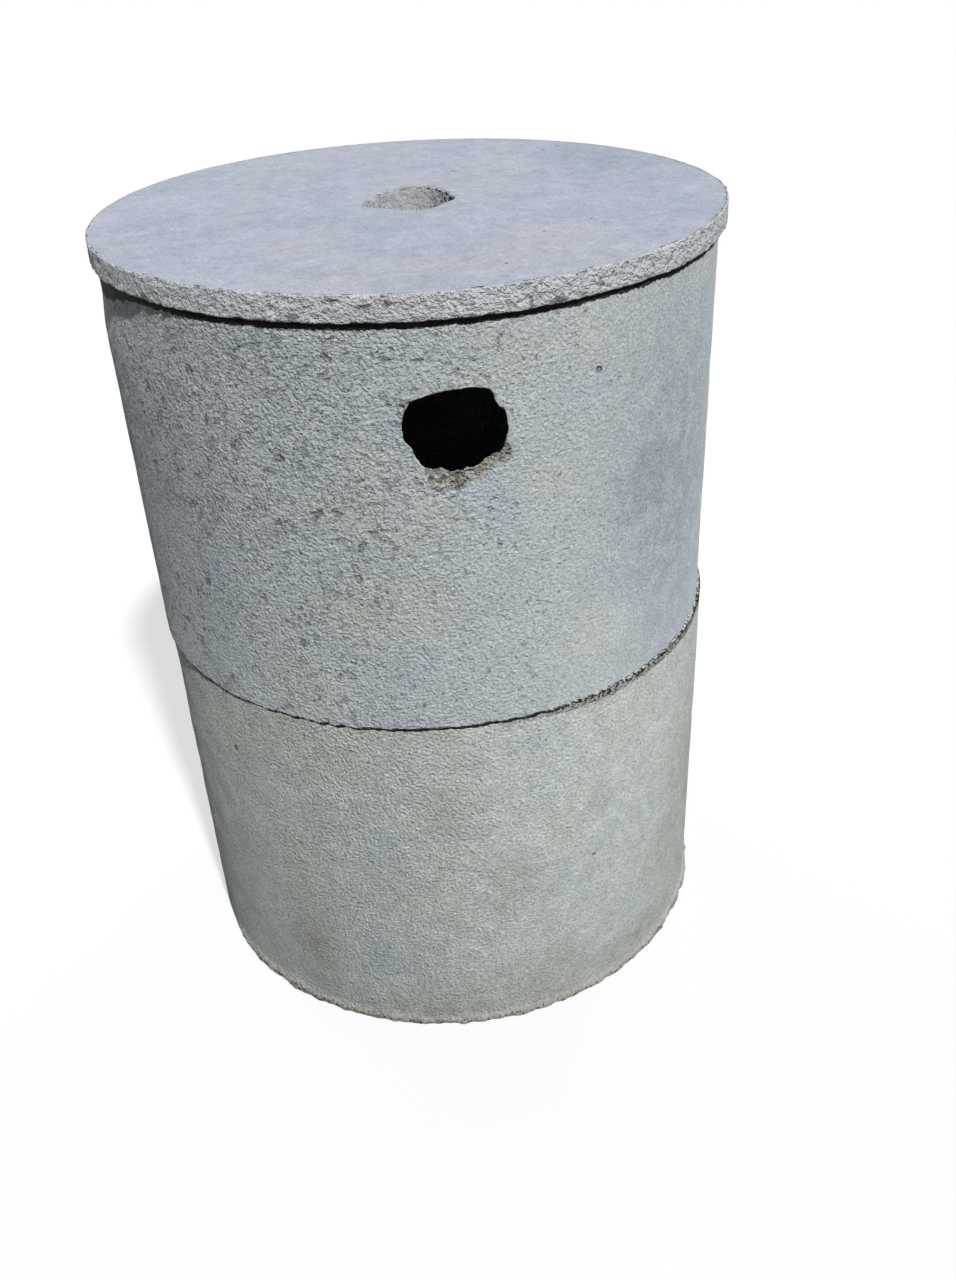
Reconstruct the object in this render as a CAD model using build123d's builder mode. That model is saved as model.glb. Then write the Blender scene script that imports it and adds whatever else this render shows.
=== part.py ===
from build123d import *
import os
from math import cos, radians, sin

# A round precast concrete septic tank: a base ring with its floor cast in, an upper ring
# with a knocked-out pipe opening, and a flat lid slab with a rough hole. All in millimetres.
# Frame: the origin is the middle of the base ring's underside, +Z is up, and the pipe
# opening faces -Y.

# The rings
ring_outer_radius = 450.0
wall_thickness = 50.0
base_ring_height = 610.0
upper_ring_height = 585.0
ring_arris_chamfer = 4.0
floor_thickness = 60.0
floor_cove_radius = 30.0

# The rebated joint: a tongue under the upper ring stands in a rebate inside the rim below.
rebate_depth = 20.0
tongue_thickness = 22.0
joint_play = 7.0
bedding_gap = 3.0

# The upper ring was set down off centre, within the play of its joint.
ring_shift_x_share = -0.76
ring_shift_y_share = 0.42

# The lid, a little wider than the rings
lid_overhang = 8.0
lid_thickness = 35.0
lid_top_chamfer = 3.0
lid_under_chamfer = 5.0

# The hole in the lid, wider at the top, as left by breaking out round it. The shares are its
# radius at equal steps of angle, counted from +X towards +Y.
lid_hole_radius = 64.0
lid_hole_x = 3.0
lid_hole_y = 6.0
lid_hole_draft = 9.0
lid_hole_shares = (0.99, 0.99, 1.16, 1.12, 0.99, 0.88, 0.97, 1.00, 0.87, 1.07, 0.95, 0.90)

# The pipe opening, knocked through from outside, so the wall spalls away wider inside. Its
# outline runs round it as shares of its half width and half height.
opening_width = 130.0
opening_height = 108.0
opening_below_rim = 140.0
opening_spall = 26.0
opening_shares = (
    (1.00, -0.24), (0.96, 0.24), (0.80, 0.50), (0.70, 0.84),
    (0.40, 0.97), (-0.14, 0.99), (-0.64, 0.93), (-0.93, 0.55),
    (-1.00, 0.17), (-0.87, -0.24), (-0.73, -0.70), (-0.36, -0.84),
    (-0.18, -0.99), (0.24, -0.96), (0.60, -0.86), (0.91, -0.58),
)

# How far a cutting shape runs past the face it cuts.
overrun = 10.0

# Sizes that follow from those above
ring_inner_radius = ring_outer_radius - wall_thickness
lid_radius = ring_outer_radius + lid_overhang
tongue_outer_radius = ring_inner_radius + tongue_thickness
tongue_length = rebate_depth - bedding_gap
rebate_radius = tongue_outer_radius + joint_play
ring_shift_x = joint_play * ring_shift_x_share
ring_shift_y = joint_play * ring_shift_y_share
lid_seat_z = base_ring_height + upper_ring_height
opening_z = lid_seat_z - opening_below_rim

base_plane = Plane.XY
upper_plane = Plane((ring_shift_x, ring_shift_y, base_ring_height))
lid_plane = Plane((0, 0, lid_seat_z))


def outer_arrises(part):
    """The edges round the outside of a ring or a slab, the lowest first."""
    round_edges = part.edges().filter_by(GeomType.CIRCLE)
    return round_edges.group_by(SortBy.RADIUS)[-1].sort_by(Axis.Z)


# Base ring: wall and floor cast as one piece, with a cove between them.
with BuildPart() as base_ring:
    with BuildSketch(base_plane):
        Circle(ring_outer_radius)
    extrude(amount=base_ring_height)
    with BuildSketch(base_plane.offset(floor_thickness)):
        Circle(ring_inner_radius)
    extrude(amount=base_ring_height - floor_thickness, mode=Mode.SUBTRACT)
    inner_edges = base_ring.edges().filter_by(GeomType.CIRCLE).group_by(SortBy.RADIUS)[0]
    fillet(inner_edges.sort_by(Axis.Z)[0], radius=floor_cove_radius)

    # The rebate inside the rim takes the upper ring's tongue.
    with BuildSketch(base_plane.offset(base_ring_height - rebate_depth)):
        Circle(rebate_radius)
    extrude(amount=rebate_depth, mode=Mode.SUBTRACT)
    chamfer(outer_arrises(base_ring), length=ring_arris_chamfer)
base_ring.part.label = "base_ring"

# Upper ring: a plain wall with a tongue below, a rebate above and the pipe opening.
with BuildPart() as upper_ring:
    with BuildSketch(upper_plane):
        Circle(ring_outer_radius)
        Circle(ring_inner_radius, mode=Mode.SUBTRACT)
    extrude(amount=upper_ring_height)
    with BuildSketch(upper_plane.offset(upper_ring_height - rebate_depth)):
        Circle(rebate_radius)
    extrude(amount=rebate_depth, mode=Mode.SUBTRACT)
    chamfer(outer_arrises(upper_ring), length=ring_arris_chamfer)
    with BuildSketch(upper_plane):
        Circle(tongue_outer_radius)
        Circle(ring_inner_radius, mode=Mode.SUBTRACT)
    extrude(amount=-tongue_length)

    # The opening is cut along the wall's thickness, and spreads by the spall as it goes in.
    for depth in (-overrun, wall_thickness + overrun):
        spread = opening_spall * depth / wall_thickness
        half_width = opening_width / 2 + spread
        half_height = opening_height / 2 + spread
        cut_plane = Plane(
            (ring_shift_x, ring_shift_y - ring_outer_radius + depth, opening_z),
            x_dir=(1, 0, 0), z_dir=(0, -1, 0))
        with BuildSketch(cut_plane):
            with BuildLine():
                Spline(*[(across * half_width, up * half_height)
                         for across, up in opening_shares], periodic=True)
            make_face()
    loft(mode=Mode.SUBTRACT)
upper_ring.part.label = "upper_ring"

# Lid: a flat slab with a tapered, broken-out hole.
with BuildPart() as lid:
    with BuildSketch(lid_plane):
        Circle(lid_radius)
    extrude(amount=lid_thickness)
    chamfer(outer_arrises(lid)[0], length=lid_under_chamfer)
    chamfer(outer_arrises(lid)[-1], length=lid_top_chamfer)

    hole_step = 360 / len(lid_hole_shares)
    for height in (-overrun, lid_thickness + overrun):
        radius = lid_hole_radius + lid_hole_draft * (height / lid_thickness - 1)
        cut_plane = Plane((lid_hole_x, lid_hole_y, lid_seat_z + height))
        with BuildSketch(cut_plane):
            with BuildLine():
                Spline(*[(share * radius * cos(radians(index * hole_step)),
                          share * radius * sin(radians(index * hole_step)))
                         for index, share in enumerate(lid_hole_shares)], periodic=True)
            make_face()
    loft(mode=Mode.SUBTRACT)
lid.part.label = "lid"

os.makedirs("parts", exist_ok=True)
export_step(base_ring.part, "parts/base_ring.step")
export_step(upper_ring.part, "parts/upper_ring.step")
export_step(lid.part, "parts/lid.step")
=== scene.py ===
import itertools
import math

import bpy
import numpy as np
from mathutils import Matrix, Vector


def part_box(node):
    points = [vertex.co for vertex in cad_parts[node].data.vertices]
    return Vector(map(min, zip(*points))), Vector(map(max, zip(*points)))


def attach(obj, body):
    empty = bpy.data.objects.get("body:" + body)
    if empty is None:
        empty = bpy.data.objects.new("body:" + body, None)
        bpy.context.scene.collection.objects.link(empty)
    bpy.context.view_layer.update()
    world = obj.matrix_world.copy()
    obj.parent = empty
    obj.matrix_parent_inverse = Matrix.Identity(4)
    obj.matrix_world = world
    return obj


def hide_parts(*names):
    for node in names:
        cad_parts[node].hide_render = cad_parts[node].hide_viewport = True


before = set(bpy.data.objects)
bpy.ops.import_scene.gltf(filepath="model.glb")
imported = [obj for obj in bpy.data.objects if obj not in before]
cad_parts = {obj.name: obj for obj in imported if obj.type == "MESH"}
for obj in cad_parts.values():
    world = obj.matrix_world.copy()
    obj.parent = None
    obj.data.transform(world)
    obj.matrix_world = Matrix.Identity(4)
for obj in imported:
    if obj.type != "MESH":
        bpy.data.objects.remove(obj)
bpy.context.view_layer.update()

# A round concrete septic tank in three cast pieces: a lid slab with a rough hole, an upper
# ring with a knocked-through pipe opening, and a base ring. Metres, +Z up, opening at -Y.
lidLow, lidHigh = [np.array(corner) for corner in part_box("lid")]
upperLow, upperHigh = [np.array(corner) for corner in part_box("upper_ring")]
baseLow, baseHigh = [np.array(corner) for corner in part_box("base_ring")]
mm = 0.001


# ---- numbers for rough surfaces

def softNoise(points, cell, seed):
    # random values on a cubic lattice of that cell, blended by 3t^2 - 2t^3, from -1 to 1
    size = 48
    lattice = np.random.default_rng(seed).uniform(-1, 1, (size, size, size))
    place = points / cell
    corner = np.floor(place).astype(int)
    t = place - corner
    t = t * t * (3 - 2 * t)
    total = np.zeros(points.shape[:-1])
    for step in itertools.product((0, 1), repeat=3):
        weight = np.prod(np.where(step, t, 1 - t), axis=-1)
        i, j, k = np.moveaxis((corner + step) % size, -1, 0)
        total += weight * lattice[i, j, k]
    return total


def layeredNoise(points, cell, seed, layers=3):
    # soft noises added up, each with half the cell and half the height of the one before
    total = sum(softNoise(points, cell / 2 ** n, seed + n) / 2 ** n for n in range(layers))
    return total / (2 - 0.5 ** (layers - 1))


def pits(points, cell, radius, share, seed):
    # a pit at a random place in that share of the lattice cells: 1 - (distance / radius)^2
    size = 64
    random = np.random.default_rng(seed)
    jitter = random.uniform(0, 1, (size, size, size, 3))
    chosen = random.uniform(0, 1, (size, size, size)) < share
    corner = np.floor(points / cell).astype(int)
    deepest = np.zeros(points.shape[:-1])
    for step in itertools.product((-1, 0, 1), repeat=3):
        near = corner + step
        i, j, k = np.moveaxis(near % size, -1, 0)
        gap = points - (near + jitter[i, j, k]) * cell
        depth = 1 - np.sum(gap * gap, axis=-1) / radius ** 2
        deepest = np.maximum(deepest, np.where(chosen[i, j, k], depth, 0))
    return deepest


def smoothStep(low, high, value):
    # 0 below low, 1 above high, and 3t^2 - 2t^3 between
    t = np.clip((value - low) / (high - low), 0, 1)
    return t * t * (3 - 2 * t)


def bump(value, centre, reach):
    # 1 at the centre, falling to 0 at that reach on both sides
    return 1 - smoothStep(0, reach, np.abs(value - centre))


def facing(points, centre=(0, 0)):
    # degrees round the axis from -Y, positive towards +X
    return np.degrees(np.arctan2(points[..., 0] - centre[0], centre[1] - points[..., 1]))


def between(low, high, fade, value):
    # 1 from low to high, fading to 0 over that much on both sides
    return smoothStep(low - fade, low, value) * (1 - smoothStep(high, high + fade, value))


def patchField(patches, turn, height):
    # soft oval stains, each with its middle, half sizes in degrees and metres, and strength
    field = np.zeros(np.shape(turn))
    for middleTurn, middleHeight, halfTurn, halfHeight, strength in patches:
        away = np.hypot((turn - middleTurn) / halfTurn, (height - middleHeight) / halfHeight)
        field += strength * (1 - smoothStep(0, 1, away))
    return field


def finerNearEnds(low, high, count, ends=1.0):
    # steps from low to high that are closer together near both ends, as a cosine is
    t = np.linspace(0, 1, count)
    eased = (1 - np.cos(math.pi * t)) / 2
    return low + (high - low) * (ends * eased + (1 - ends) * t)


def roundGrid(radius, height, angles, centre=(0, 0)):
    # rows of points at those radii and heights, carried round the axis; angle 0 is -Y
    x = centre[0] + radius * np.sin(angles)
    y = centre[1] - radius * np.cos(angles)
    return np.stack(np.broadcast_arrays(x, y, height), axis=-1)


def gridFaces(rows, columns, closed):
    # four-sided faces between neighbouring rows; the columns join up round the axis
    row = np.arange(rows if closed else rows - 1)[:, None]
    column = np.arange(columns)[None, :]
    right = (column + 1) % columns
    above = (row + 1) % rows
    corners = (row * columns + column, row * columns + right,
               above * columns + right, above * columns + column)
    return np.stack(np.broadcast_arrays(*corners), axis=-1)


def arrisInset(distance, width):
    # how far a worn edge draws back at a distance from its corner: width (1 - d / width)^2
    return width * np.clip(1 - distance / width, 0, 1) ** 2


def addPiece(name, points, faces, marks, node, material):
    # makes the mesh object, with its marks as vertex attributes, and puts it in the frame
    mesh = bpy.data.meshes.new(name)
    mesh.from_pydata(points.reshape(-1, 3).tolist(), [], faces)
    mesh.polygons.foreach_set("use_smooth", np.ones(len(mesh.polygons), dtype=bool))
    for markName, values in marks.items():
        layer = mesh.attributes.new(markName, "FLOAT", "POINT")
        layer.data.foreach_set("value", np.asarray(values, dtype=np.float32).ravel())
    mesh.update()
    piece = bpy.data.objects.new(name, mesh)
    bpy.context.scene.collection.objects.link(piece)
    piece.data.materials.append(material)
    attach(piece, "root")
    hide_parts(node)
    print(name, len(mesh.polygons), "faces")
    return piece


# ---- finishes

class Wire:
    # one value in a material, so that shader maths reads as plain Python
    def __init__(self, finish, socket):
        self.finish, self.socket = finish, socket

    def maths(self, operation, first, second):
        return self.finish.add("ShaderNodeMath", {"operation": operation},
                               {0: first, 1: second})

    def __add__(self, other):
        return self.maths("ADD", self, other)

    def __sub__(self, other):
        return self.maths("SUBTRACT", self, other)

    def __mul__(self, other):
        return self.maths("MULTIPLY", self, other)

    def __rsub__(self, other):
        return self.maths("SUBTRACT", other, self)

    __radd__ = __add__

    def atLeast(self, other):
        return self.maths("MAXIMUM", self, other)

    def atMost(self, other):
        return self.maths("MINIMUM", self, other)


class Finish:
    # one material; add() puts in any node, its settings first and then its inputs
    def __init__(self, name):
        self.material = bpy.data.materials.new(name)
        self.material.use_nodes = True
        self.tree = self.material.node_tree
        self.shader = self.tree.nodes["Principled BSDF"]

    def add(self, kind, settings=None, inputs=None, output=0):
        node = self.tree.nodes.new(kind)
        for setting, value in (settings or {}).items():
            setattr(node, setting, value)
        self.fill(node, inputs or {})
        return Wire(self, node.outputs[output])

    def fill(self, node, inputs):
        for key, value in inputs.items():
            if isinstance(value, Wire):
                self.tree.links.new(value.socket, node.inputs[key])
            else:
                node.inputs[key].default_value = value

    def noise(self, place, size, detail=2.0, roughness=0.5, seed=0.0):
        # Blender's noise from about 0 to 1, with features of that size in metres
        return self.add("ShaderNodeTexNoise", {"noise_dimensions": "4D"},
                        {"Vector": place, "W": seed, "Scale": 1 / size,
                         "Detail": detail, "Roughness": roughness})

    def ramp(self, value, low, high, start=0.0, end=1.0):
        # a smooth step of the value from low to high, from start to end
        return self.add("ShaderNodeMapRange", {"interpolation_type": "SMOOTHSTEP"},
                        {"Value": value, "From Min": low, "From Max": high,
                         "To Min": start, "To Max": end})

    def blend(self, factor, first, second, kind="MIX"):
        return self.add("ShaderNodeMix", {"data_type": "RGBA", "blend_type": kind},
                        {0: factor, 6: first, 7: second}, output=2)

    def dips(self, place, size, limit, depth, detail=2.0, seed=0.0):
        # ragged hollows: 0 where a noise is above the limit, and 1 that depth below it
        return self.ramp(self.noise(place, size, detail, 0.6, seed), limit, limit - depth)

    def spot(self, place, spot):
        # a ragged blemish: 1 in its middle and 0 outside its half sizes along each axis
        middle, halfSizes = spot
        scales = tuple(1 / half for half in halfSizes)
        away = self.add("ShaderNodeVectorMath", {"operation": "SUBTRACT"},
                        {0: place, 1: tuple(middle)})
        away = self.add("ShaderNodeVectorMath", {"operation": "MULTIPLY"},
                        {0: away, 1: scales})
        length = self.add("ShaderNodeVectorMath", {"operation": "LENGTH"}, {0: away}, output=1)
        rough = self.noise(place, 0.005, 2.0, 0.6, seed=60.0)
        return self.ramp(length + rough, 1.5, 1.1)


def colour(red, green, blue):
    return (red, green, blue, 1.0)


finishSizes = {
    "crowd": 0.08,                # patches where voids crowd together
    "cloud": 0.030,               # breaks up the edges of the stains
    "mottle": 0.022,
    "streak": 0.09,
    "grimeAndShade": 0.0055,
    "pebbleHeight": 4.0,          # in millimetres, as all heights of the looks are
}


def concreteFinish(name, look, spots=(), pebbles=()):
    # cast concrete: sand grain and pores in the relief, blotches and speckle in the colour
    finish = Finish(name)
    place = finish.add("ShaderNodeTexCoord", output=3)
    z = finish.add("ShaderNodeSeparateXYZ", {}, {0: place}, output=2)
    broken, dirtAndShade, stain, grain = [
        finish.add("ShaderNodeAttribute", {"attribute_name": mark}, output=2)
        for mark in ("broken", "dirtAndShade", "stain", "grain")]

    # Relief, in millimetres: sand, lumps, and voids that crowd in some places
    sand = finish.noise(place, look["sandSize"], 2.0, 0.65)
    lumps = finish.noise(place, look["lumpSize"], 2.0, 0.55, seed=3.0)
    stones = finish.noise(place, look["stoneSize"], 3.0, 0.6, seed=12.0)
    crowd = finish.ramp(finish.noise(place, finishSizes["crowd"], 2.0, 0.6, seed=8.0),
                        0.35, 0.65, -1.0, 1.0)
    high = finish.ramp(z, look["voidsFrom"], look["voidsTo"], look["voidsLow"], 1.0)
    limit = (crowd + high) * 0.02 + broken * look["brokenVoids"] + look["voidLimit"]
    limit = limit - (1 - grain) * 0.16
    upright = finish.add("ShaderNodeVectorMath", {"operation": "MULTIPLY"},
                         {0: place, 1: (1.0, 1.0, 1.05)})
    smallVoids = finish.dips(upright, look["smallVoid"], limit, 0.03, seed=5.0)
    largeVoids = finish.dips(upright, look["largeVoid"], limit - 0.05, 0.04, 3.0, seed=15.0)
    voids = smallVoids * 0.6 + largeVoids
    marks = [finish.spot(place, spot) for spot in spots]
    for mark in marks:
        voids = voids.atLeast(mark)
    relief = (sand * (grain * look["sandHeight"] + broken * look["brokenSand"])
              + lumps * grain * look["lumpHeight"] - voids * look["voidDepth"]
              + stones * broken * look["stoneHeight"])
    stuck = [finish.spot(place, pebble) for pebble in pebbles]
    for pebble in stuck:
        relief = relief + pebble * finishSizes["pebbleHeight"]
    normal = finish.add("ShaderNodeBump", {}, {"Strength": 1.0, "Distance": mm,
                                               "Height": relief})

    # Colour: cool, plain and warm patches, speckle, voids darkened with painted shade, and dirt
    # and painted shade with a ragged edge
    blotch = finish.ramp(finish.noise(place, look["blotchSize"], 4.0, 0.6, seed=20.0),
                         0.35, 0.65)
    wash = finish.ramp(finish.noise(place, look["washSize"], 3.0, 0.55, seed=31.0),
                       0.42, 0.66)
    paint = finish.blend(blotch, look["coolColour"], look["plainColour"])
    paint = finish.blend(wash * look["warmShare"], paint, look["warmColour"])
    paint = finish.blend(broken, paint, look["brokenColour"])
    cloud = finish.ramp(finish.noise(place, finishSizes["cloud"], 4.0, 0.65, seed=27.0),
                        0.38, 0.60, 0.45, 1.1)
    stain = stain * cloud
    paint = finish.blend(stain.atLeast(0.0).atMost(1.0), paint, look["warmStain"])
    paint = finish.blend((0 - stain).atLeast(0.0).atMost(1.0), paint, look["coolStain"])
    for pebble in stuck:
        paint = finish.blend(pebble, paint, look["pebbleColour"])
    speckle = finish.noise(place, look["speckleSize"], 2.0, 0.7, seed=40.0)
    shade = (1 - look["speckle"]) + speckle * (2 * look["speckle"])
    mottle = finish.noise(place, finishSizes["mottle"], 4.0, 0.7, seed=80.0)
    shade = shade * ((1 - look["mottle"]) + mottle * (2 * look["mottle"]))
    combed = finish.add("ShaderNodeVectorMath", {"operation": "MULTIPLY"},
                        {0: place, 1: (1.0, 8.0, 1.0)})
    streaks = finish.noise(combed, finishSizes["streak"], 3.0, 0.6, seed=70.0)
    shade = shade * ((1 - look["streaks"]) + streaks * (2 * look["streaks"]))
    # The voids, and the blemishes counted with them, are darkened: painted shade standing in for
    # the shadow inside them
    shade = shade * (1 - voids.atMost(1.0) * look["voidPaintedShade"])
    shade = shade * finish.ramp(z, look["footFrom"], look["footTo"], look["footShade"], 1.0)
    # The dirt mark darkens with a ragged edge: real dirt in places, painted shade under the lid,
    # in the joint and on the lid's edge, underside and hole
    grimeAndShade = finish.noise(place, finishSizes["grimeAndShade"], 3.0, 0.7, seed=50.0) - 0.5
    shade = shade * (1 - finish.ramp(dirtAndShade + grimeAndShade * 1.8, 0.42, 0.58, 0.0, 0.95))
    paint = finish.blend(1.0, paint, finish.add("ShaderNodeCombineColor", {}, {
        0: shade, 1: shade, 2: shade}), "MULTIPLY")
    finish.fill(finish.shader, {"Base Color": paint, "Normal": normal,
                                "Roughness": 0.92, "Diffuse Roughness": 0.35,
                                "Specular IOR Level": 0.25})
    return finish.material


# ---- the lid slab

lidShape = {
    "columns": 760,
    "holeRadius": 64 * mm,
    "holeCentre": (3 * mm, 6 * mm),
    "holeDraft": 9 * mm,          # how much narrower the hole is below
    "holeShares": (0.99, 0.99, 1.16, 1.12, 0.99, 0.88, 0.97, 1.00, 0.87, 1.07, 0.95, 0.90),
    "cracks": (                   # degrees and height of the middle, half width and height
        (-52.4, 1.199, 12 * mm, 9 * mm), (-23.8, 1.204, 11 * mm, 4 * mm),
        (-17.7, 1.224, 10 * mm, 3 * mm), (-13.2, 1.217, 13 * mm, 3 * mm),
        (-9.5, 1.220, 6 * mm, 6 * mm), (16.1, 1.201, 18 * mm, 5 * mm),
        (24.0, 1.207, 8 * mm, 4 * mm)),
    "clearance": 0.2 * mm,        # keeps the waviest rim inside the CAD slab
    "rimWave": 1.0 * mm,
    "drawnBack": 6 * mm,          # the edge, right of the front
    "crackInset": 3 * mm,
    "stoneHeight": 3.2 * mm,
    "arris": 1.6 * mm,
    "lowArrisShare": 2.2,         # the lower edge is rounded that much more
    "chipHeight": 7 * mm,
    "holeJag": 2.2 * mm,
    "holeRelief": 1.6 * mm,
    "lipWear": 2.5 * mm,
    "topRelief": 0.25 * mm,
    "pitPlaces": (                # their middles and half sizes
        (89 * mm, 173 * mm, 4 * mm), (211 * mm, 127 * mm, 3 * mm), (262 * mm, 92 * mm, 3 * mm),
        (255 * mm, 282 * mm, 4 * mm), (284 * mm, 306 * mm, 4 * mm),
        (77 * mm, -366 * mm, 3 * mm), (151 * mm, -234 * mm, 3 * mm),
        (224 * mm, -187 * mm, 3 * mm)),
    "seed": 11,
}
lidLook = {
    "coolColour": colour(0.335, 0.375, 0.445), "plainColour": colour(0.385, 0.412, 0.485),
    "warmColour": colour(0.410, 0.410, 0.470), "warmShare": 0.5,
    "brokenColour": colour(0.595, 0.618, 0.628),
    "blotchSize": 0.07, "washSize": 0.16, "speckleSize": 0.0036, "speckle": 0.45,
    "mottle": 0.28, "streaks": 0.08,
    "sandSize": 0.004, "sandHeight": 0.12, "lumpSize": 0.020, "lumpHeight": 0.25,
    "stoneSize": 0.012, "stoneHeight": 13.0,
    "smallVoid": 0.009, "largeVoid": 0.024, "voidLimit": 0.20, "voidDepth": 0.6,
    "voidPaintedShade": 0.6, "voidsFrom": 0.0, "voidsTo": 0.1, "voidsLow": 1.0,
    "brokenVoids": 0.16, "brokenSand": 7.0,
    "footFrom": 0.0, "footTo": 0.5, "footShade": 1.0,
    "warmStain": colour(0.40, 0.40, 0.41), "coolStain": colour(0.30, 0.34, 0.42),
    "patches": (                  # middle x and y, half sizes and strength
        (0.33, 0.18, 0.15, 0.28, -0.9), (0.0, -0.35, 0.35, 0.08, 0.5),
        (-0.32, -0.08, 0.15, 0.20, -0.4), (0.02, 0.10, 0.12, 0.05, 0.6)),
}


def lidHoleRadius(angles, shares):
    # the shares stand at equal steps from +X towards +Y; their Fourier series joins them up
    wave = np.fft.rfft(shares) / len(shares)
    order = np.arange(len(wave))
    weight = np.where((order == 0) | (order == len(shares) / 2), 1, 2)
    turn = np.asarray(angles)[..., None] * order
    return np.sum(weight * (wave.real * np.cos(turn) - wave.imag * np.sin(turn)), axis=-1)


def makeLid(shape, look):
    angles = np.arange(shape["columns"]) * 2 * math.pi / shape["columns"]
    low, high = lidLow[2], lidHigh[2]
    thick = high - low
    outer = (lidHigh[0] - lidLow[0]) / 2 - shape["clearance"]
    rim = roundGrid(outer, low, angles)
    edge = outer - shape["rimWave"] * (1 + layeredNoise(rim, 0.11, shape["seed"])) / 2
    edge -= shape["drawnBack"] * between(28, 58, 25, facing(rim))

    # The hole's outline, turned from its own angles to those round the axis
    holeShare = lidHoleRadius(angles - math.pi / 2, shape["holeShares"])
    jag = layeredNoise(roundGrid(shape["holeRadius"], low, angles), 0.016, shape["seed"] + 4)

    def holeEdge(height):
        radius = shape["holeRadius"] + shape["holeDraft"] * ((height - low) / thick - 1)
        radius = radius * holeShare + shape["holeJag"] * jag
        return roundGrid(radius, height, angles, shape["holeCentre"])

    # Rows: up the edge, in over the top, down the hole and out under the slab
    up = finerNearEnds(low, high, 17, 0.8)[:, None]
    across = finerNearEnds(0, 1, 36, 0.75)[1:, None, None]
    down = finerNearEnds(1, 0, 12, 0.6)[1:, None]
    back = finerNearEnds(0, 1, 14, 0.7)[1:-1, None, None]
    band = roundGrid(edge, up, angles)
    top = band[-1] * (1 - across) + holeEdge(high) * across
    wall = holeEdge(low + thick * down)
    under = wall[-1] * (1 - back) + band[0] * back
    points = np.concatenate([band, top, wall, under])

    # Relief: stones and broken spots on the edge and in the hole, faint waves on the top
    rows = [len(band), len(top), len(wall), len(under)]
    part = np.repeat(np.arange(4), rows)[:, None]
    edgeMask = np.where(part == 0, 1.0, 0.0)
    holeMask = np.where(part == 2, 1.0, 0.0)
    x, y, z = np.moveaxis(points, -1, 0)
    radius = np.hypot(x, y)
    toTop, toLow = high - z, z - low
    stones = layeredNoise(points, 0.010, shape["seed"] + 20)
    gouges = pits(points, 0.020, 0.007, 0.40, shape["seed"] + 30)
    rough = shape["stoneHeight"] * ((1 + stones) / 2 + 0.7 * gouges)
    away = np.stack([x, y], axis=-1) / np.maximum(radius, mm)[..., None]

    topWear = shape["arris"] * (1 + 0.8 * layeredNoise(points, 0.030, shape["seed"] + 40))
    lowArris = shape["lowArrisShare"] * shape["arris"]
    lowWear = lowArris * (1.1 + 1.2 * layeredNoise(points, 0.012, shape["seed"] + 50))
    lowWear += shape["chipHeight"] * pits(points, 0.06, 0.013, 0.40, shape["seed"] + 55)
    inset = edgeMask * (0.9 * rough + arrisInset(toTop, topWear) + arrisInset(toLow, lowWear))
    points[..., :2] -= inset[..., None] * away
    fromRim = np.maximum(edge - radius, 0)
    points[..., 2] -= np.where(part == 1, arrisInset(fromRim, topWear) * 0.6, 0)
    points[..., 2] += np.where(part == 3, arrisInset(fromRim, lowWear) * 0.8, 0)

    # Inside the hole the relief is pushed away from the hole's own middle
    fromHole = points[..., :2] - np.array(shape["holeCentre"])
    reach = np.linalg.norm(fromHole, axis=-1)
    lipWear = shape["lipWear"] * (1 + layeredNoise(points, 0.012, shape["seed"] + 60))
    shove = holeMask * (shape["holeRelief"] * stones + arrisInset(toTop, lipWear))
    points[..., :2] += shove[..., None] * fromHole / np.maximum(reach, mm)[..., None]
    nearLip = np.where(part == 1, reach - shape["holeRadius"] * holeShare, 1)
    points[..., 2] -= np.where(part == 1, arrisInset(np.maximum(nearLip, 0), lipWear) * 0.7, 0)
    waves = shape["topRelief"] * (1 + softNoise(points, 0.12, 77))
    points[..., 2] -= np.where(part == 1, waves, 0)

    broken = np.clip(edgeMask + 0.5 * holeMask + np.where(part == 3, 0.6, 0), 0, 1)
    lipCrumbs = np.where(part == 1, bump(nearLip, 0, 7 * mm), 0)
    broken = np.maximum(broken, lipCrumbs * smoothStep(-0.1, 0.3, stones))
    broken = np.maximum(broken, np.where(part == 1, bump(fromRim, 0, 4 * mm), 0))

    # Painted shade in the gouges, along the lower edge, under the slab near its rim and in the
    # hole, darkest towards +X there, where the hole's wall lies in shadow
    holePaintedShade = 0.14 + 0.48 * smoothStep(0.50, 1.0, fromHole[..., 0] / shape["holeRadius"])
    grimeAndShade = edgeMask * np.maximum(0.40 * gouges, bump(toLow, 0, 0.5 * mm + lowWear))
    dirtAndShade = np.where(part == 3, 0.9 * bump(fromRim, 0, 25 * mm), grimeAndShade) + holeMask * holePaintedShade
    stain = np.where(part == 1, patchField(look["patches"], x, y), 0) + 0.9 * holeMask
    faces = gridFaces(len(points), shape["columns"], True).reshape(-1, 4).tolist()
    spots = [((px, py, high), (size, size, 10 * mm)) for px, py, size in shape["pitPlaces"]]
    crackRadius = outer - shape["crackInset"]
    spots += [(roundGrid(crackRadius, height, math.radians(turn)), (across, across, up))
              for turn, height, across, up in shape["cracks"]]
    material = concreteFinish("trowelledConcrete", look, spots)
    return addPiece("lid_slab", points, faces,
                    {"broken": broken, "dirtAndShade": dirtAndShade, "stain": stain, "grain": 1 + 0 * z},
                    "lid", material)


makeLid(lidShape, lidLook)


# ---- the upper ring

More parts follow.
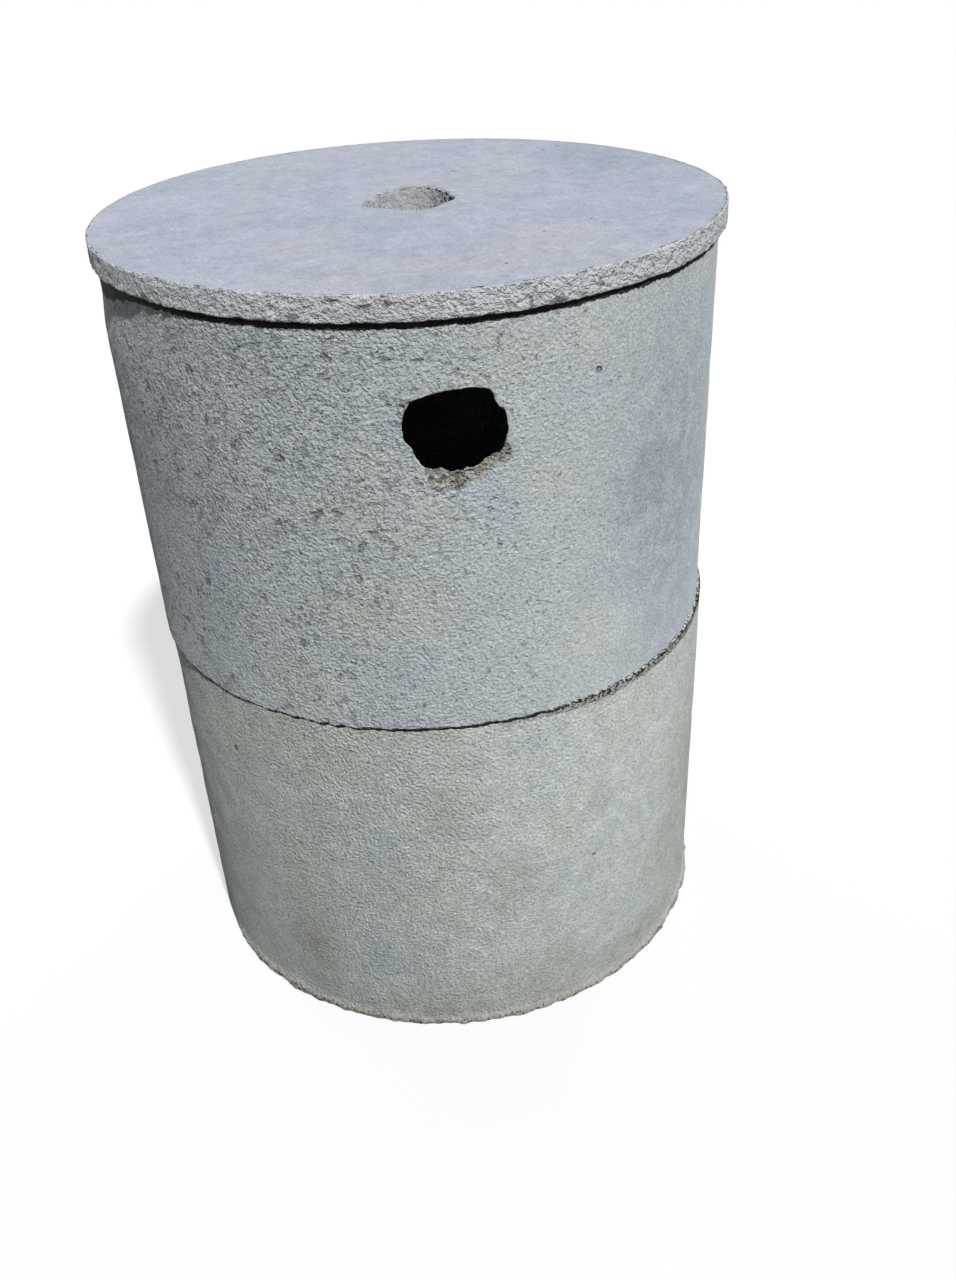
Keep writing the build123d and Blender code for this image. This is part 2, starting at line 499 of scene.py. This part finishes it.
ringShape = {
    "wall": 50 * mm,
    "rebateDepth": 20 * mm,
    "rebateOut": 29 * mm,         # how far the rebate reaches out from the inner wall
    "tongueOut": 22 * mm,
    "tongueLength": 17 * mm,
    "edgeSteps": np.array([0, 0.6, 1.3, 2.2, 3.4, 5, 7.5, 11, 16, 24]) * mm,
    "edgeGap": 34 * mm,           # from an end of the wall to its evenly spaced rows
    "wander": 3.8 * mm,           # how far the joint line runs up and down
    "wanderCell": 12 * mm,
    "wanderReach": 14 * mm,
    "leftWear": 2 * mm,           # more wear of the joint's arrises on the left
}
upperShape = {
    "columns": 560,
    "wave": 0.7 * mm,
    "ripple": 2.6 * mm,
    "arris": 1.6 * mm,
    "holeHalf": (65 * mm, 54 * mm),
    "holeDrop": 140 * mm,         # from the rim to the middle of the pipe opening
    "spall": 26 * mm,             # how much wider the opening is inside
    "lidShadow": 8 * mm,          # the band of painted shadow right under the lid
    "lidShadowLeft": 26 * mm,     # how much deeper the painted shadow band is at the far left
    # painted shade in the joint crack, this high above it
    "jointPaintedShade": 4.5 * mm,
    "lidShadowEdge": 3 * mm,      # half the softness of its lower edge, and its raggedness
    "drawnBack": 5 * mm,          # the top of the wall on the left, over these heights
    "drawnHeights": (100 * mm, 30 * mm),
    "crumbs": (30 * mm, 15 * mm, 9 * mm),   # below the opening, on its right and left
    "crumbDepth": 3.5 * mm,
    "crumbRelief": 3 * mm,
    "smoothing": 0.6,             # how much smoother the wall is on the right
    "blemishes": (                # degrees and height of the middle, half width and height
        (-28.9, 1.019, 8 * mm, 7 * mm), (24.9, 1.100, 6 * mm, 5 * mm),
        (-10.0, 1.150, 9 * mm, 2.5 * mm), (-5.1, 1.148, 8 * mm, 2.5 * mm),
        (-14.5, 0.924, 8 * mm, 3 * mm), (-12.5, 0.926, 7 * mm, 2.5 * mm)),
    "pebbles": ((-29.3, 1.020, 5.5 * mm),),
    "outlineShares": (
        (1.00, 0.05), (0.97, 0.36), (0.86, 0.46), (0.78, 0.62), (0.76, 0.77), (0.67, 0.90),
        (0.48, 0.96), (0.15, 0.97), (-0.25, 0.93), (-0.57, 0.86), (-0.79, 0.78),
        (-0.87, 0.63), (-0.97, 0.40), (-1.00, 0.10), (-0.98, -0.13), (-0.86, -0.31),
        (-0.78, -0.55), (-0.66, -0.80), (-0.46, -0.90), (-0.30, -0.88), (-0.12, -1.00),
        (0.20, -0.95), (0.43, -0.90), (0.54, -0.78), (0.82, -0.70), (0.95, -0.55),
        (0.97, -0.37), (1.02, -0.16)),
    "windowHalf": (140 * mm, 115 * mm),
    "windowRows": 36,
    "seed": 101,
}
upperLook = {
    "coolColour": colour(0.461, 0.509, 0.541), "plainColour": colour(0.500, 0.543, 0.552),
    "warmColour": colour(0.509, 0.533, 0.514), "warmShare": 0.6,
    "brokenColour": colour(0.455, 0.460, 0.412),
    "pebbleColour": colour(0.620, 0.580, 0.480),
    "blotchSize": 0.06, "washSize": 0.14, "speckleSize": 0.0036, "speckle": 0.75,
    "mottle": 0.10, "streaks": 0.0,
    "sandSize": 0.0046, "sandHeight": 6.5, "lumpSize": 0.012, "lumpHeight": 3.0,
    "stoneSize": 0.007, "stoneHeight": 8.0,
    "smallVoid": 0.009, "largeVoid": 0.016, "voidLimit": 0.370, "voidDepth": 9.0,
    "voidPaintedShade": 0.45, "voidsFrom": 0.65, "voidsTo": 1.15, "voidsLow": 0.0,
    "brokenVoids": 0.11, "brokenSand": 0.0,
    "footFrom": 0.0, "footTo": 0.5, "footShade": 1.0,
    "warmStain": colour(0.520, 0.539, 0.489), "coolStain": colour(0.340, 0.376, 0.421),
    "patches": (                  # degrees and height of the middle, half sizes, strength
        (46, 0.88, 34, 0.50, -1.0), (-60, 0.95, 35, 0.40, -0.7), (38, 0.92, 15, 0.08, -0.4),
        (3, 1.115, 13, 0.045, 0.4), (-15, 0.80, 22, 0.08, 0.6), (25, 0.72, 20, 0.06, 0.6),
        (-30, 0.68, 15, 0.05, 0.4), (-5, 0.93, 12, 0.05, 0.5)),
}


def ringSection(lowEnd, highEnd, outerRows, innerRows, radius, tongue):
    # rows up the outer wall, in over the rim and its rebate, down inside and out below
    inside = radius - ringShape["wall"]
    rebate = inside + ringShape["rebateOut"]
    rimStep = finerNearEnds(radius, rebate, 7)[1:]
    seat = highEnd - ringShape["rebateDepth"]
    radii = [np.full(len(outerRows), radius), rimStep, [rebate, rebate],
             [inside], np.full(len(innerRows), inside)]
    heights = [outerRows, np.full(len(rimStep), highEnd), [(highEnd + seat) / 2, seat],
               [seat], innerRows]
    if tongue:
        end = lowEnd - ringShape["tongueLength"]
        out = inside + ringShape["tongueOut"]
        footStep = finerNearEnds(out, radius, 6)[:-1]
        radii += [[inside, out], footStep]
        heights += [[end, end], np.full(len(footStep), lowEnd)]
    return np.concatenate(radii), np.concatenate(heights)


def outlineRadius(turn, halfSizes, shares):
    # the outline's distance from its middle in each direction, straight between its points
    corners = np.array(shares) * halfSizes
    cornerTurn = np.arctan2(corners[:, 1], corners[:, 0])
    order = np.argsort(cornerTurn)
    reach = np.hypot(corners[:, 0], corners[:, 1])
    return np.interp(turn, cornerTurn[order], reach[order], period=2 * math.pi)


def jointWander(points, centre, joint, radius):
    # the joint line runs a little up and down, alike on both rings, fading away from it
    angles = np.radians(facing(points, centre))
    onCircle = roundGrid(radius, joint, angles)
    near = bump(points[:, 2], joint, ringShape["wanderReach"])
    wall = smoothStep(radius - 6 * mm, radius - 3 * mm, np.hypot(
        points[:, 0] - centre[0], points[:, 1] - centre[1]))
    wander = ringShape["wander"] * layeredNoise(onCircle, ringShape["wanderCell"], 900)
    return near * wall * wander * (1 - between(40, 110, 30, np.degrees(angles)))


def wallRelief(points, shape, lowEnd, highEnd, lowWear, highWear):
    # how far the outer wall draws back: slow waves, small hollows and worn ends
    z = points[..., 2]
    waves = shape["wave"] * (1 + layeredNoise(points, 0.20, shape["seed"], 2)) / 2
    waves += shape["ripple"] * (1 + layeredNoise(points, 0.045, shape["seed"] + 5, 2)) / 2
    hollows = 1.2 * mm * pits(points, 0.040, 0.009, 0.25, shape["seed"] + 7)
    ends = arrisInset(z - lowEnd, lowWear) + arrisInset(highEnd - z, highWear)
    return waves + hollows + ends


def makeUpperRing(shape, look):
    columns = shape["columns"]
    angles = np.arange(columns) * 2 * math.pi / columns
    angles = angles - math.pi                      # the middle column faces -Y
    centre = (upperLow[:2] + upperHigh[:2]) / 2
    radius = (upperHigh[0] - upperLow[0]) / 2
    lowEnd, highEnd = baseHigh[2], upperHigh[2]
    holeZ = highEnd - shape["holeDrop"]
    windowLow, windowHigh = holeZ - shape["windowHalf"][1], holeZ + shape["windowHalf"][1]

    edgeSteps, edgeGap = ringShape["edgeSteps"], ringShape["edgeGap"]
    windowZ = np.linspace(windowLow, windowHigh, shape["windowRows"])
    outerRows = np.concatenate([lowEnd + edgeSteps,
                                np.linspace(lowEnd + edgeGap, windowLow - 10 * mm, 26),
                                windowZ, highEnd - edgeSteps[::-1]])
    innerRows = np.concatenate([windowZ[::-1], np.linspace(windowLow - 30 * mm, lowEnd, 8)])
    radii, heights = ringSection(lowEnd, highEnd, outerRows, innerRows, radius, True)
    points = roundGrid(radii[:, None], heights[:, None], angles, centre)
    rows = len(points)
    index = np.arange(rows * columns).reshape(rows, columns)

    # The window round the opening, in the outer wall and again in the inner wall
    firstOuter = len(edgeSteps) + 26
    lastOuter = firstOuter + shape["windowRows"] - 1
    firstInner = len(heights) - len(innerRows) - 7
    innerRowOf = firstInner + (lastOuter - np.arange(rows))
    side = int(round(shape["windowHalf"][0] / radius / (2 * math.pi / columns)))
    left, right = columns // 2 - side, columns // 2 + side
    loop = ([(firstOuter, c) for c in range(left, right)]
            + [(r, right) for r in range(firstOuter, lastOuter)]
            + [(lastOuter, c) for c in range(right, left, -1)]
            + [(r, left) for r in range(lastOuter, firstOuter, -1)])
    loopRow, loopColumn = np.array(loop).T

    # Rings of points run from the outer window to the lip, through the wall and back out
    along = angles[loopColumn] * radius
    above = heights[loopRow] - holeZ
    turn = np.arctan2(above, along)
    lip = outlineRadius(turn, shape["holeHalf"], shape["outlineShares"])
    ringPlace = np.stack([np.cos(turn), np.sin(turn), np.zeros_like(turn)], axis=-1)
    jag = layeredNoise(ringPlace * 0.06, 0.007, shape["seed"] + 3)
    lip = lip + mm * (1.2 + 1.6 * bump(np.degrees(turn), -70, 80)) * jag
    lipAlong, lipAbove = lip * np.cos(turn), lip * np.sin(turn)
    inLip = lip + shape["spall"] + 4 * mm * layeredNoise(ringPlace * 0.08, 0.03, 5)
    inAlong, inAbove = inLip * np.cos(turn), inLip * np.sin(turn)
    inwards = (1 - (1 - np.linspace(0, 1, 25)[1:]) ** 1.5)[:, None]
    through = np.linspace(0, 1, 12)[1:, None]
    outwards = np.linspace(0, 1, 9)[1:-1, None]
    outside = (along + (lipAlong - along) * inwards, above + (lipAbove - above) * inwards)
    tunnel = (lipAlong + (inAlong - lipAlong) * through,
              lipAbove + (inAbove - lipAbove) * through)
    inside = (inAlong + (along - inAlong) * outwards, inAbove + (above - inAbove) * outwards)
    ringAlong = np.concatenate([outside[0], tunnel[0], inside[0]])
    ringAbove = np.concatenate([outside[1], tunnel[1], inside[1]])
    depth = np.concatenate([np.zeros(len(inwards)), through[:, 0],
                            np.ones(len(outwards))])[:, None] * ringShape["wall"]
    ringPoints = roundGrid(radius - depth, holeZ + ringAbove, ringAlong / radius, centre)

    # Faces: the grid without its two windows, then the rings that join them
    ringCount, loopCount = ringPoints.shape[:2]
    outerLoop = index[loopRow, loopColumn][None]
    innerLoop = index[innerRowOf[loopRow], loopColumn][None]
    ringIndex = rows * columns + np.arange(ringCount * loopCount).reshape(ringCount, -1)
    chain = np.concatenate([outerLoop, ringIndex, innerLoop])
    nextIn = np.roll(chain, -1, axis=1)
    ringFaces = np.stack([chain[:-1], nextIn[:-1], nextIn[1:], chain[1:]], axis=-1)
    faces = gridFaces(rows, columns, True)
    keep = np.ones(faces.shape[:2], dtype=bool)
    keep[firstOuter:lastOuter, left:right] = False
    keep[innerRowOf[lastOuter]:innerRowOf[firstOuter], left:right] = False
    faces = np.concatenate([faces[keep], ringFaces.reshape(-1, 4)])
    points = np.concatenate([points.reshape(-1, 3), ringPoints.reshape(-1, 3)])

    # Relief on the outer wall and round the lip
    fromAxis = points[:, :2] - centre
    reach = np.linalg.norm(fromAxis, axis=-1)
    outerWall = smoothStep(radius - 1 * mm, radius - 0.5 * mm, reach)
    degrees = facing(points, centre)
    rightSide = between(25, 110, 30, degrees)
    leftSide = between(-120, -80, 40, degrees)
    lowWear = shape["arris"] * (1.1 + layeredNoise(points, 0.012, shape["seed"] + 11))
    lowWear = lowWear * (1 - 0.7 * rightSide) + ringShape["leftWear"] * leftSide
    highWear = 2 * shape["arris"] * (1.2 + layeredNoise(points, 0.016, shape["seed"] + 17))
    inset = outerWall * wallRelief(points, shape, lowEnd, highEnd, lowWear, highWear)
    underLid = smoothStep(*shape["drawnHeights"], highEnd - points[:, 2])
    inset += outerWall * underLid * shape["drawnBack"] * between(-110, -62, 25, degrees)
    wander = jointWander(points, centre, lowEnd, radius)
    lastRing = rows * columns + np.arange(len(inwards) * loopCount)
    toLip = np.full(len(points), 1.0)
    toLip[lastRing] = (np.hypot(outside[0], outside[1]) - lip).ravel()
    lipTurn = np.zeros(len(points))
    lipTurn[lastRing] = np.degrees(np.broadcast_to(turn, outside[0].shape)).ravel()
    lipWear = 1.0 * mm * (1.1 + layeredNoise(points, 0.010, shape["seed"] + 23))
    inset += arrisInset(np.maximum(toLip, 0), lipWear) * (toLip < 1)
    below, rightOf, leftOf = shape["crumbs"]
    crumbled = below * bump(lipTurn, -102, 36) + rightOf * between(-75, -30, 15, lipTurn)
    crumbled += leftOf * bump(lipTurn, 152, 16)
    crumbled *= (toLip < 1) * (1 + 0.5 * layeredNoise(points, 0.012, shape["seed"] + 27))
    crumbled = smoothStep(-2 * mm, 1 * mm, crumbled - toLip) * (crumbled > 3 * mm)
    hollow = shape["crumbRelief"] * layeredNoise(points, 0.009, shape["seed"] + 29)
    inset += crumbled * (shape["crumbDepth"] + hollow)
    points[:, :2] -= (inset / np.maximum(reach, mm))[:, None] * fromAxis
    # Painted shade in the joint crack, reaching higher on the left
    joint = smoothStep(shape["jointPaintedShade"], 0, points[:, 2] - lowEnd - 4 * mm * leftSide)
    joint *= 0.95 + 0.5 * layeredNoise(points, 0.011, 910)
    points[:, 2] += wander

    # Every vertex that no face uses any more is dropped
    used, faces = np.unique(faces, return_inverse=True)
    faces = faces.reshape(-1, 4)
    points = points[used]
    isTunnel = np.zeros(rows * columns + ringCount * loopCount)
    first = rows * columns + len(inwards) * loopCount
    isTunnel[first:first + len(through) * loopCount] = 1
    crumbled = crumbled[used]
    broken = np.maximum(isTunnel[used], crumbled)
    outerWall, rightSide = outerWall[used], rightSide[used]
    # The dirt mark: a band of painted shadow right under the lid, much deeper at the far left,
    # painted shade along the joint, and dirt in the crumbs
    ragged = shape["lidShadowEdge"] * layeredNoise(points, 0.014, shape["seed"] + 41)
    deeper = shape["lidShadowLeft"] * between(-100, -75, 24, degrees[used]) ** 1.5
    belowBand = highEnd - shape["lidShadow"] - deeper - points[:, 2] + ragged
    joint = joint[used]
    soft = shape["lidShadowEdge"]
    dirtAndShade = outerWall * np.maximum(smoothStep(soft, -soft, belowBand),
                                  joint * (1 - rightSide)) + 0.36 * crumbled
    stain = outerWall * patchField(look["patches"], degrees[used], points[:, 2])
    grain = 1 - shape["smoothing"] * between(40, 110, 50, degrees[used])
    grain += 0.22 * between(-110, -25, 25, degrees[used])
    spots = [(roundGrid(radius, height, math.radians(turn), centre), (across, across, up))
             for turn, height, across, up in shape["blemishes"]]
    pebbles = [(roundGrid(radius, height, math.radians(turn), centre), (size, size, size))
               for turn, height, size in shape["pebbles"]]
    material = concreteFinish("upperRingConcrete", look, spots, pebbles)
    return addPiece("upper_ring_cast", points, faces.tolist(),
                    {"broken": broken, "dirtAndShade": dirtAndShade, "stain": stain, "grain": grain},
                    "upper_ring", material)


makeUpperRing(upperShape, upperLook)


# ---- the base ring

baseShape = {
    "columns": 560,
    "wave": 0.7 * mm,
    "ripple": 2.6 * mm,
    "arris": 1.6 * mm,
    "floor": 60 * mm,
    "cove": 30 * mm,
    "lipHeight": 13 * mm,         # the rough lip along the foot
    "lipHigher": 5 * mm,          # how much higher it is on the left
    "lipOut": 5 * mm,
    "ledge": 9 * mm,              # the dirty ledge at the joint, on the right
    # painted shade in the joint crack, this far below it
    "jointPaintedShade": 3 * mm,
    "smoothing": 0.5,
    "blemishes": ((-52.0, 0.500, 6 * mm, 6 * mm), (24.0, 0.300, 6 * mm, 3 * mm)),
    "seed": 201,
}
baseLook = {
    "coolColour": colour(0.480, 0.520, 0.525), "plainColour": colour(0.540, 0.580, 0.560),
    "warmColour": colour(0.505, 0.525, 0.475), "warmShare": 0.8,
    "brokenColour": colour(0.455, 0.432, 0.378),
    "blotchSize": 0.045, "washSize": 0.11, "speckleSize": 0.0036, "speckle": 0.80,
    "mottle": 0.32, "streaks": 0.0,
    "sandSize": 0.0046, "sandHeight": 8.0, "lumpSize": 0.014, "lumpHeight": 2.0,
    "stoneSize": 0.007, "stoneHeight": 2.0,
    "smallVoid": 0.007, "largeVoid": 0.013, "voidLimit": 0.29, "voidDepth": 2.0,
    "voidPaintedShade": 0.60, "voidsFrom": 0.0, "voidsTo": 0.6, "voidsLow": 0.5,
    "brokenVoids": 0.06, "brokenSand": 4.0,
    "footFrom": 0.0, "footTo": 0.55, "footShade": 0.84,
    "warmStain": colour(0.374, 0.378, 0.334), "coolStain": colour(0.465, 0.512, 0.545),
    "patches": (
        (0, 0.02, 70, 0.10, 0.7), (-38, 0.14, 9, 0.13, 0.9), (-23, 0.14, 8, 0.14, -0.9),
        (-20, 0.36, 9, 0.14, -0.5), (16, 0.10, 12, 0.07, 0.6), (7, 0.30, 9, 0.10, 0.5),
        (39, 0.05, 20, 0.06, 0.6), (46, 0.20, 12, 0.08, 0.4), (-6, 0.45, 9, 0.09, 0.4),
        (64, 0.28, 26, 0.40, 0.70), (25, 0.42, 10, 0.07, 0.3)),
}


def makeBaseRing(shape, look):
    columns = shape["columns"]
    angles = np.arange(columns) * 2 * math.pi / columns - math.pi
    radius = (baseHigh[0] - baseLow[0]) / 2
    inside = radius - ringShape["wall"]
    lowEnd, highEnd = baseLow[2], baseHigh[2]
    edgeSteps, edgeGap = ringShape["edgeSteps"], ringShape["edgeGap"]
    outerRows = np.concatenate([lowEnd + edgeSteps,
                                np.linspace(lowEnd + edgeGap, highEnd - edgeGap, 44),
                                highEnd - edgeSteps[::-1]])
    coveTop = lowEnd + shape["floor"] + shape["cove"]
    innerRows = np.linspace(highEnd - 60 * mm, coveTop, 12)
    radii, heights = ringSection(lowEnd, highEnd, outerRows, innerRows, radius, False)
    bend = np.linspace(0, math.pi / 2, 6)[1:]
    coveRadii = inside - shape["cove"] * (1 - np.cos(bend))
    coveHeights = coveTop - shape["cove"] * np.sin(bend)
    floorRadii = np.linspace(coveRadii[-1], 0, 9)[1:-1]
    footRadii = np.linspace(0, radius, 12)[1:-1]
    radii = np.concatenate([footRadii, radii, coveRadii, floorRadii])
    heights = np.concatenate([np.full(len(footRadii), lowEnd), heights, coveHeights,
                              np.full(len(floorRadii), lowEnd + shape["floor"])])
    points = roundGrid(radii[:, None], heights[:, None], angles)
    rows = len(points)
    points = points.reshape(-1, 3)
    poles = np.array([[0, 0, lowEnd], [0, 0, lowEnd + shape["floor"]]])
    points = np.concatenate([points, poles])

    faces = gridFaces(rows, columns, False).reshape(-1, 4).tolist()
    column = np.arange(columns)
    beside = (column + 1) % columns
    footPole, floorPole = rows * columns, rows * columns + 1
    lastRow = (rows - 1) * columns
    faces += np.stack([np.full(columns, footPole), beside, column], axis=-1).tolist()
    faces += np.stack([lastRow + column, lastRow + beside,
                       np.full(columns, floorPole)], axis=-1).tolist()

    reach = np.linalg.norm(points[:, :2], axis=-1)
    outerWall = smoothStep(radius - 1 * mm, radius - 0.5 * mm, reach)
    degrees = facing(points)
    rightSide = between(25, 110, 30, degrees)
    leftSide = between(-120, -80, 40, degrees)
    lowWear = shape["arris"] * (1.2 + layeredNoise(points, 0.018, shape["seed"] + 11))
    highWear = shape["arris"] * (1.2 + layeredNoise(points, 0.012, shape["seed"] + 17))
    rubble = 1 + 0.5 * layeredNoise(points, 0.012, shape["seed"] + 18)
    highWear = highWear * (1 - 0.5 * rightSide) + ringShape["leftWear"] * leftSide
    inset = outerWall * wallRelief(points, shape, lowEnd, highEnd, lowWear, highWear)

    # A rough lip of concrete that ran out under the mould, along the foot on the right
    toLow, toHigh = points[:, 2] - lowEnd, highEnd - points[:, 2]
    lipSide = between(-62, 100, 12, degrees)
    lipHeight = shape["lipHeight"] + shape["lipHigher"] * between(-62, -30, 20, degrees)
    lipHeight *= 1 + 0.6 * layeredNoise(points, 0.020, shape["seed"] + 21)
    lip = outerWall * lipSide * (1 - smoothStep(0.5, 1.0, toLow / lipHeight))
    inset -= lip * shape["lipOut"] * (1 + 0.8 * layeredNoise(points, 0.016, shape["seed"] + 23))
    points[:, :2] -= (inset / np.maximum(reach, mm))[:, None] * points[:, :2]
    points[:, 2] += jointWander(points, (0, 0), highEnd, radius)
    ledge = rightSide * smoothStep(-3 * mm, 2 * mm, shape["ledge"] * rightSide * rubble - toHigh)
    broken = outerWall * np.maximum(lip, ledge)
    # Painted shade in the joint crack, a little deeper on the left; the ledge on the right and
    # the foot lip get real dirt
    joint = smoothStep(shape["jointPaintedShade"], 0, toHigh - 2 * mm * leftSide)
    rimToo = smoothStep(radius - 14 * mm, radius - 9 * mm, reach)
    dirtAndShade = rimToo * (joint * (1 - rightSide) + 0.49 * ledge) + outerWall * 0.40 * lip
    stain = outerWall * patchField(look["patches"], degrees, points[:, 2])
    grain = 1 - shape["smoothing"] * between(40, 110, 60, degrees)
    grain += 0.28 * between(-110, -25, 30, degrees)
    spots = [(roundGrid(radius, height, math.radians(turn)), (across, across, up))
             for turn, height, across, up in shape["blemishes"]]
    material = concreteFinish("baseRingConcrete", look, spots)
    return addPiece("base_ring_cast", points, faces,
                    {"broken": broken, "dirtAndShade": dirtAndShade, "stain": stain, "grain": grain},
                    "base_ring", material)


makeBaseRing(baseShape, baseLook)


# ---- floor, light and camera

stage = {
    "floorSize": 80.0,
    "floorGrey": 0.18,            # what the floor throws back on the tank
    "floorGlow": 0.62,            # how much of its white the floor keeps in shadow
    "skyStrength": 0.10,
    "sunStrength": 3.6,
    "sunAcross": 14.0,            # degrees from -Y towards +X
    "sunUp": 50.0,
    "sunSoftness": 3.0,
    "fillStrength": 1.2,          # a weak lamp on each side behind
    "fillAcross": 145.0,
    "fillUp": 12.0,
    "fillSoftness": 40.0,
}
view = {
    "distance": 1.8260, "height": 1.6348, "aside": -5.41,   # the camera's own place
    "heading": 7.53, "down": 32.53, "roll": -2.87,          # where it looks, in degrees
    "lens": 34.18,
}


def makeFloor(stage):
    half = stage["floorSize"] / 2
    mesh = bpy.data.meshes.new("floor")
    mesh.from_pydata([(-half, -half, 0), (half, -half, 0), (half, half, 0),
                      (-half, half, 0)], [], [(0, 1, 2, 3)])
    floor = bpy.data.objects.new("floor", mesh)
    bpy.context.scene.collection.objects.link(floor)
    finish = Finish("paleFloor")
    rays = [finish.add("ShaderNodeLightPath", output=ray)
            for ray in ("Is Camera Ray", "Is Glossy Ray", "Is Transmission Ray")]
    seen = rays[0].atLeast(rays[1]).atLeast(rays[2])
    grey = stage["floorGrey"]
    plain = finish.add("ShaderNodeBsdfDiffuse", {}, {"Color": colour(grey, grey, grey)})
    pale = finish.add("ShaderNodeBsdfDiffuse", {}, {"Color": colour(0.9, 0.9, 0.9)})
    glow = finish.add("ShaderNodeEmission", {}, {"Strength": 1.0})
    white = finish.add("ShaderNodeMixShader", {}, {0: stage["floorGlow"], 1: pale, 2: glow})
    surface = finish.add("ShaderNodeMixShader", {}, {0: seen, 1: plain, 2: white})
    output = finish.tree.nodes["Material Output"]
    finish.tree.links.new(surface.socket, output.inputs["Surface"])
    floor.data.materials.append(finish.material)


def makeWorld(stage):
    world = bpy.data.worlds.new("sky")
    bpy.context.scene.world = world
    world.use_nodes = True
    tree = world.node_tree
    light = tree.nodes["Background"]
    light.inputs["Color"].default_value = colour(0.92, 0.96, 1.0)
    light.inputs["Strength"].default_value = stage["skyStrength"]
    white = tree.nodes.new("ShaderNodeBackground")
    white.inputs["Color"].default_value = colour(1, 1, 1)
    rays = tree.nodes.new("ShaderNodeLightPath")
    mix = tree.nodes.new("ShaderNodeMixShader")
    tree.links.new(rays.outputs["Is Camera Ray"], mix.inputs[0])
    tree.links.new(light.outputs[0], mix.inputs[1])
    tree.links.new(white.outputs[0], mix.inputs[2])
    tree.links.new(mix.outputs[0], tree.nodes["World Output"].inputs["Surface"])


def turned(across, tilt):
    # first tipped up from straight down, then swung round the vertical
    return Matrix.Rotation(math.radians(across), 4, "Z") @ Matrix.Rotation(
        math.radians(tilt), 4, "X")


def makeSun(name, strength, across, up, softness):
    light = bpy.data.lights.new(name, "SUN")
    light.energy = strength
    light.angle = math.radians(softness)
    sun = bpy.data.objects.new(name, light)
    bpy.context.scene.collection.objects.link(sun)
    sun.matrix_world = turned(across, 90 - up)


def makeCamera(view):
    data = bpy.data.cameras.new("camera")
    data.lens = view["lens"]
    camera = bpy.data.objects.new("camera", data)
    bpy.context.scene.collection.objects.link(camera)
    aside = math.radians(view["aside"])
    place = Matrix.Translation((view["distance"] * math.sin(aside),
                                -view["distance"] * math.cos(aside), view["height"]))
    roll = Matrix.Rotation(math.radians(view["roll"]), 4, "Z")
    camera.matrix_world = place @ turned(-view["heading"], 90 - view["down"]) @ roll
    bpy.context.scene.camera = camera


makeFloor(stage)
makeWorld(stage)
makeSun("sun", stage["sunStrength"], stage["sunAcross"], stage["sunUp"], stage["sunSoftness"])
for side in (1, -1):
    makeSun("fill", stage["fillStrength"], side * stage["fillAcross"], stage["fillUp"],
            stage["fillSoftness"])
makeCamera(view)
bpy.context.scene.view_settings.view_transform = "Standard"
print("floor, light and camera")
